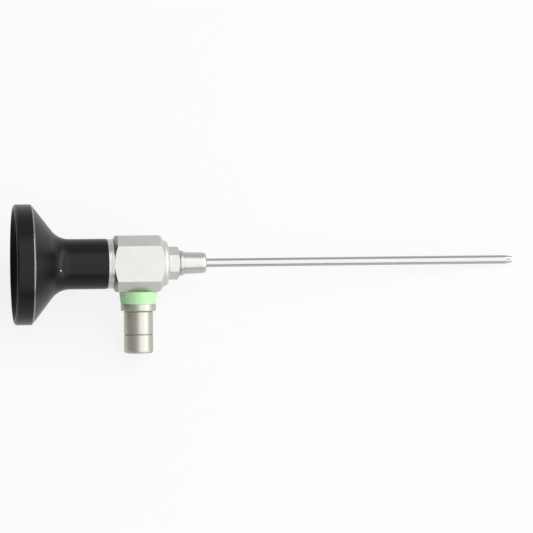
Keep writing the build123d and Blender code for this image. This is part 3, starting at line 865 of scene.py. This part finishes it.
ADAPTER_GROOVE_DEPTH = 0.03
TOP_GROOVES_FROM, TOP_GROOVES_TO, TOP_GROOVE_PITCH = 0.35, 1.55, 0.4
END_GROOVES_FROM, END_GROOVES_TO, END_GROOVE_PITCH = -1.3, -0.3, 0.333
upper_start, upper_end = reach("upper_adapter", LIGHT_POST)
ferrule_bore, adapter_radius = radii("upper_adapter", LIGHT_POST)
turned("upper_adapter_turned", "upper_adapter", LIGHT_POST, [
    (upper_start, ferrule_bore),
    (upper_end, ferrule_bore),
    (upper_end, adapter_radius, TURNED_EDGE),
    (upper_start, adapter_radius, TURNED_EDGE),
], turned_post_steel, "satin_steel", grooves=[(
    upper_start + TOP_GROOVES_FROM, upper_start + TOP_GROOVES_TO,
    TOP_GROOVE_PITCH, ADAPTER_GROOVE_DEPTH,
), (
    upper_end + END_GROOVES_FROM, upper_end + END_GROOVES_TO,
    END_GROOVE_PITCH, ADAPTER_GROOVE_DEPTH,
)])

ADAPTER_END_ROUNDING = 0.8
MOUTH_DEPTH = 0.65
lower_start, post_end = reach("lower_adapter", LIGHT_POST)
turned("lower_adapter_turned", "lower_adapter", LIGHT_POST, [
    (lower_start, ferrule_bore),
    (post_end - MOUTH_DEPTH, ferrule_bore),
    (post_end, ferrule_bore + MOUTH_DEPTH, FINE_EDGE),
    (post_end, adapter_radius, ADAPTER_END_ROUNDING),
    (lower_start, adapter_radius, TURNED_EDGE),
], turned_post_steel, "satin_steel", steps=8)

# Light window, a thin disc a little above the fibres' ends
FIBRE_GAP = 0.03
glass_start, glass_end = reach("light_window", LIGHT_POST)
glass_radius = radii("light_window", LIGHT_POST)[1]
turned("light_window_polished", "light_window", LIGHT_POST, [
    (glass_start + FIBRE_GAP, 0),
    (glass_end, 0),
    (glass_end, glass_radius, FINE_EDGE),
    (glass_start + FIBRE_GAP, glass_radius, FINE_EDGE),
], lens_glass, "optical_glass", segments=64)

# Fibre ends, packed in the bundle behind the light window and round the distal window. Real
# fibres are about as fine as those at the tip, and the bundle's are as coarse as they need to
# be to show.
BUNDLE_RADIUS = 0.9
BUNDLE_SPACING = 0.07
TIP_SPACING = 0.032
FIBRE_SHARE = 0.48  # of the spacing: a fibre's radius
CEMENT_EDGE = 0.03
TIP_CEMENT_EDGE = 0.02


def packed_points(station, inner, outer, spacing):
    """Points of a close packing between two radii, on a plane square to X."""
    row_step = spacing * math.sqrt(3) / 2
    rows = int(outer / row_step)
    across = int(outer / spacing) + 1
    points = []
    for row in range(-rows, rows + 1):
        shift = spacing / 2 if row % 2 else 0
        for column in range(-across, across + 1):
            point = Vector((0, column * spacing + shift, row * row_step))
            if inner < point.length < outer:
                points.append(point * MM + Vector((station * MM, 0, 0)))
    return points


def fibre_ends(name, place, station, inner, outer, spacing):
    """The domed ends of packed fibres, on a plane square to a frame's X."""
    mesh = bpy.data.meshes.new(name)
    mesh.from_pydata(packed_points(station, inner, outer, spacing), [], [])
    piece = new_piece(name, mesh)
    radius = spacing * FIBRE_SHARE * MM
    run_tree(fibre_tree, piece, {"Fibre Radius": radius, "Material": fibre_glass})
    finish_piece(piece, place, "fibre_glass")


fibre_ends(
    "light_guide_fibre_ends", LIGHT_POST, glass_start,
    0, BUNDLE_RADIUS - CEMENT_EDGE, BUNDLE_SPACING,
)
tube_end_radius = radii("optical_tube", OPTICAL, tip)[1]
fibre_ends(
    "tip_fibre_ends", OPTICAL, tip,
    tube_end_radius + CEMENT_EDGE, tip_wall - TIP_CEMENT_EDGE, TIP_SPACING,
)

# The pieces that stay as CAD made them get their materials
slot_materials = {
    "satin_steel": blasted_steel,
    "shaft_steel": drawn_steel,
    "tube_steel": drawn_steel,
    "sapphire": sapphire,
    "optical_glass": lens_glass,
    "fibre_glass": fibre_cement,
    "seal_rubber": seal_rubber,
    "black_anodised": black_anodised,
    "black_peek": black_peek,
    "white_enamel": white_enamel,
    "green_plastic": green_ring,
}
for part in frame["record"]["subparts"]:
    for slot in nodes[part["node"]].material_slots:
        slot.material = slot_materials[part["material_slot"]]


# Table
TABLE_HALF = 2.0  # metres
LIT_GREY = 0.8  # what the table throws back on the object
SHADOW_SHARE = 0.12
WHITE_GLOW = 0.83


def make_table_top():
    """White laminate, matt. The camera, metal and glass see it as nearly even white, with a
    share of the object's shadow."""
    material = bpy.data.materials.new("laminate_white_matt")
    material.use_nodes = True
    tree = material.node_tree
    tree.nodes.clear()
    path = add(tree, "ShaderNodeLightPath").outputs
    mirrored = add(tree, MATH, {
        0: path["Is Glossy Ray"],
        1: path["Is Transmission Ray"],
    }, operation="MAXIMUM")
    seen = add(tree, MATH, {0: path["Is Camera Ray"], 1: mirrored}, operation="MAXIMUM")
    lit = add(tree, "ShaderNodeBsdfDiffuse", {"Color": (LIT_GREY,) * 3 + (1,)})
    shadowed = add(tree, "ShaderNodeBsdfDiffuse", {"Color": (SHADOW_SHARE,) * 3 + (1,)})
    white = add(tree, "ShaderNodeEmission", {"Color": (1, 1, 1, 1), "Strength": WHITE_GLOW})
    shown = add(tree, "ShaderNodeAddShader", {0: shadowed, 1: white})
    mixed = add(tree, "ShaderNodeMixShader", {"Fac": seen, 1: lit, 2: shown})
    add(tree, "ShaderNodeOutputMaterial", {"Surface": mixed})
    return material


corners = [(-1, -1), (1, -1), (1, 1), (-1, 1)]
table_mesh = bpy.data.meshes.new("table_top")
table_mesh.from_pydata(
    [(x * TABLE_HALF, y * TABLE_HALF, 0) for x, y in corners], [], [(0, 1, 2, 3)],
)
table_mesh.materials.append(make_table_top())
new_piece("table_top", table_mesh)

# Camera, in front of the body and a little to the eyecup's side, with the middle of the rim
# on a set pixel
IMAGE_SIZE = 533
FOCAL_PIXELS = 2800
SENSOR_WIDTH = 36
NEAREST = 0.05  # metres
RIM_X_PIXEL = 13.6
RIM_Y_PIXEL = 264.95
CAMERA_DISTANCE = 734.9
TOWARDS_CAMERA = Vector((-0.153, 0.021, 0.988))
IMAGE_TILT = math.radians(-0.67)

back = (OPTICAL.to_3x3() @ TOWARDS_CAMERA).normalized()
level = (AXIS - back * AXIS.dot(back)).normalized()
right = level * math.cos(IMAGE_TILT) + back.cross(level) * math.sin(IMAGE_TILT)
up = back.cross(right)
rim_x = (RIM_X_PIXEL - IMAGE_SIZE / 2) / FOCAL_PIXELS * CAMERA_DISTANCE
rim_y = (IMAGE_SIZE / 2 - RIM_Y_PIXEL) / FOCAL_PIXELS * CAMERA_DISTANCE
camera_data = bpy.data.cameras.new("camera")
camera_data.sensor_width = SENSOR_WIDTH
camera_data.lens = FOCAL_PIXELS / IMAGE_SIZE * SENSOR_WIDTH
camera_data.clip_start = NEAREST
camera = new_piece("camera", camera_data)
camera.matrix_world = Matrix.Translation(
    RIM_CENTRE + (back * CAMERA_DISTANCE - right * rim_x - up * rim_y) * MM
) @ Matrix((right, up, back)).transposed().to_4x4()
bpy.context.scene.camera = camera

# Light. The lamps are aimed at the axis, about where the hub starts.
LIGHT_STATION = 45
AREA_POWER = 4  # what makes a lamp's surface show its brightness, for each square metre


def soft_box(name, across, upwards, distance, width, height, brightness):
    """A rectangular lamp, turned from the body's front by two angles in degrees, with its
    distance and its size in metres, and its brightness as metal shows it."""
    lamp = bpy.data.lights.new(name, "AREA")
    lamp.shape = "RECTANGLE"
    lamp.size = width
    lamp.size_y = height
    lamp.energy = AREA_POWER * brightness * width * height
    across, upwards = math.radians(across), math.radians(upwards)
    sideways = Vector((math.cos(across), 0, -math.sin(across)))
    level = Vector((math.sin(across), 0, math.cos(across)))
    towards = level * math.cos(upwards) + Vector((0, math.sin(upwards), 0))
    turn = Matrix((sideways, towards.cross(sideways), towards)).transposed().to_4x4()
    place = Matrix.Translation(towards * distance + Vector((LIGHT_STATION * MM, 0, 0)))
    new_piece(name, lamp).matrix_world = OPTICAL @ place @ turn


soft_box("key_strip", across=60, upwards=3, distance=0.7, width=0.22, height=1.6, brightness=3.1)
soft_box("front_soft_box", across=19, upwards=2, distance=0.75, width=0.62, height=1.7, brightness=1.2)

# A pale backdrop all round, brighter beyond the tip and on the camera's side
BACKDROP_LEVEL = 0.76
BACKDROP_TO_TIP = 0.16
BACKDROP_TO_CAMERA = 0.2
BACKDROP_LEAST = 0.08
world = bpy.data.worlds.new("studio")
bpy.context.scene.world = world
world.use_nodes = True
sky = world.node_tree
sky.nodes.clear()
looking = add(sky, "ShaderNodeTexCoord").outputs["Generated"]
where = add(sky, "ShaderNodeSeparateXYZ", {"Vector": looking}).outputs
to_tip = add(sky, MATH, {
    0: where["X"],
    1: BACKDROP_TO_TIP,
    2: BACKDROP_LEVEL,
}, operation="MULTIPLY_ADD")
gradient = add(sky, MATH, {
    0: where["Y"],
    1: BACKDROP_TO_CAMERA,
    2: to_tip,
}, operation="MULTIPLY_ADD")
brightness = add(sky, MATH, {0: gradient, 1: BACKDROP_LEAST}, operation="MAXIMUM")
backdrop = add(sky, "ShaderNodeBackground", {"Strength": brightness})
add(sky, "ShaderNodeOutputWorld", {"Surface": backdrop})

bpy.context.scene.view_settings.view_transform = "Standard"
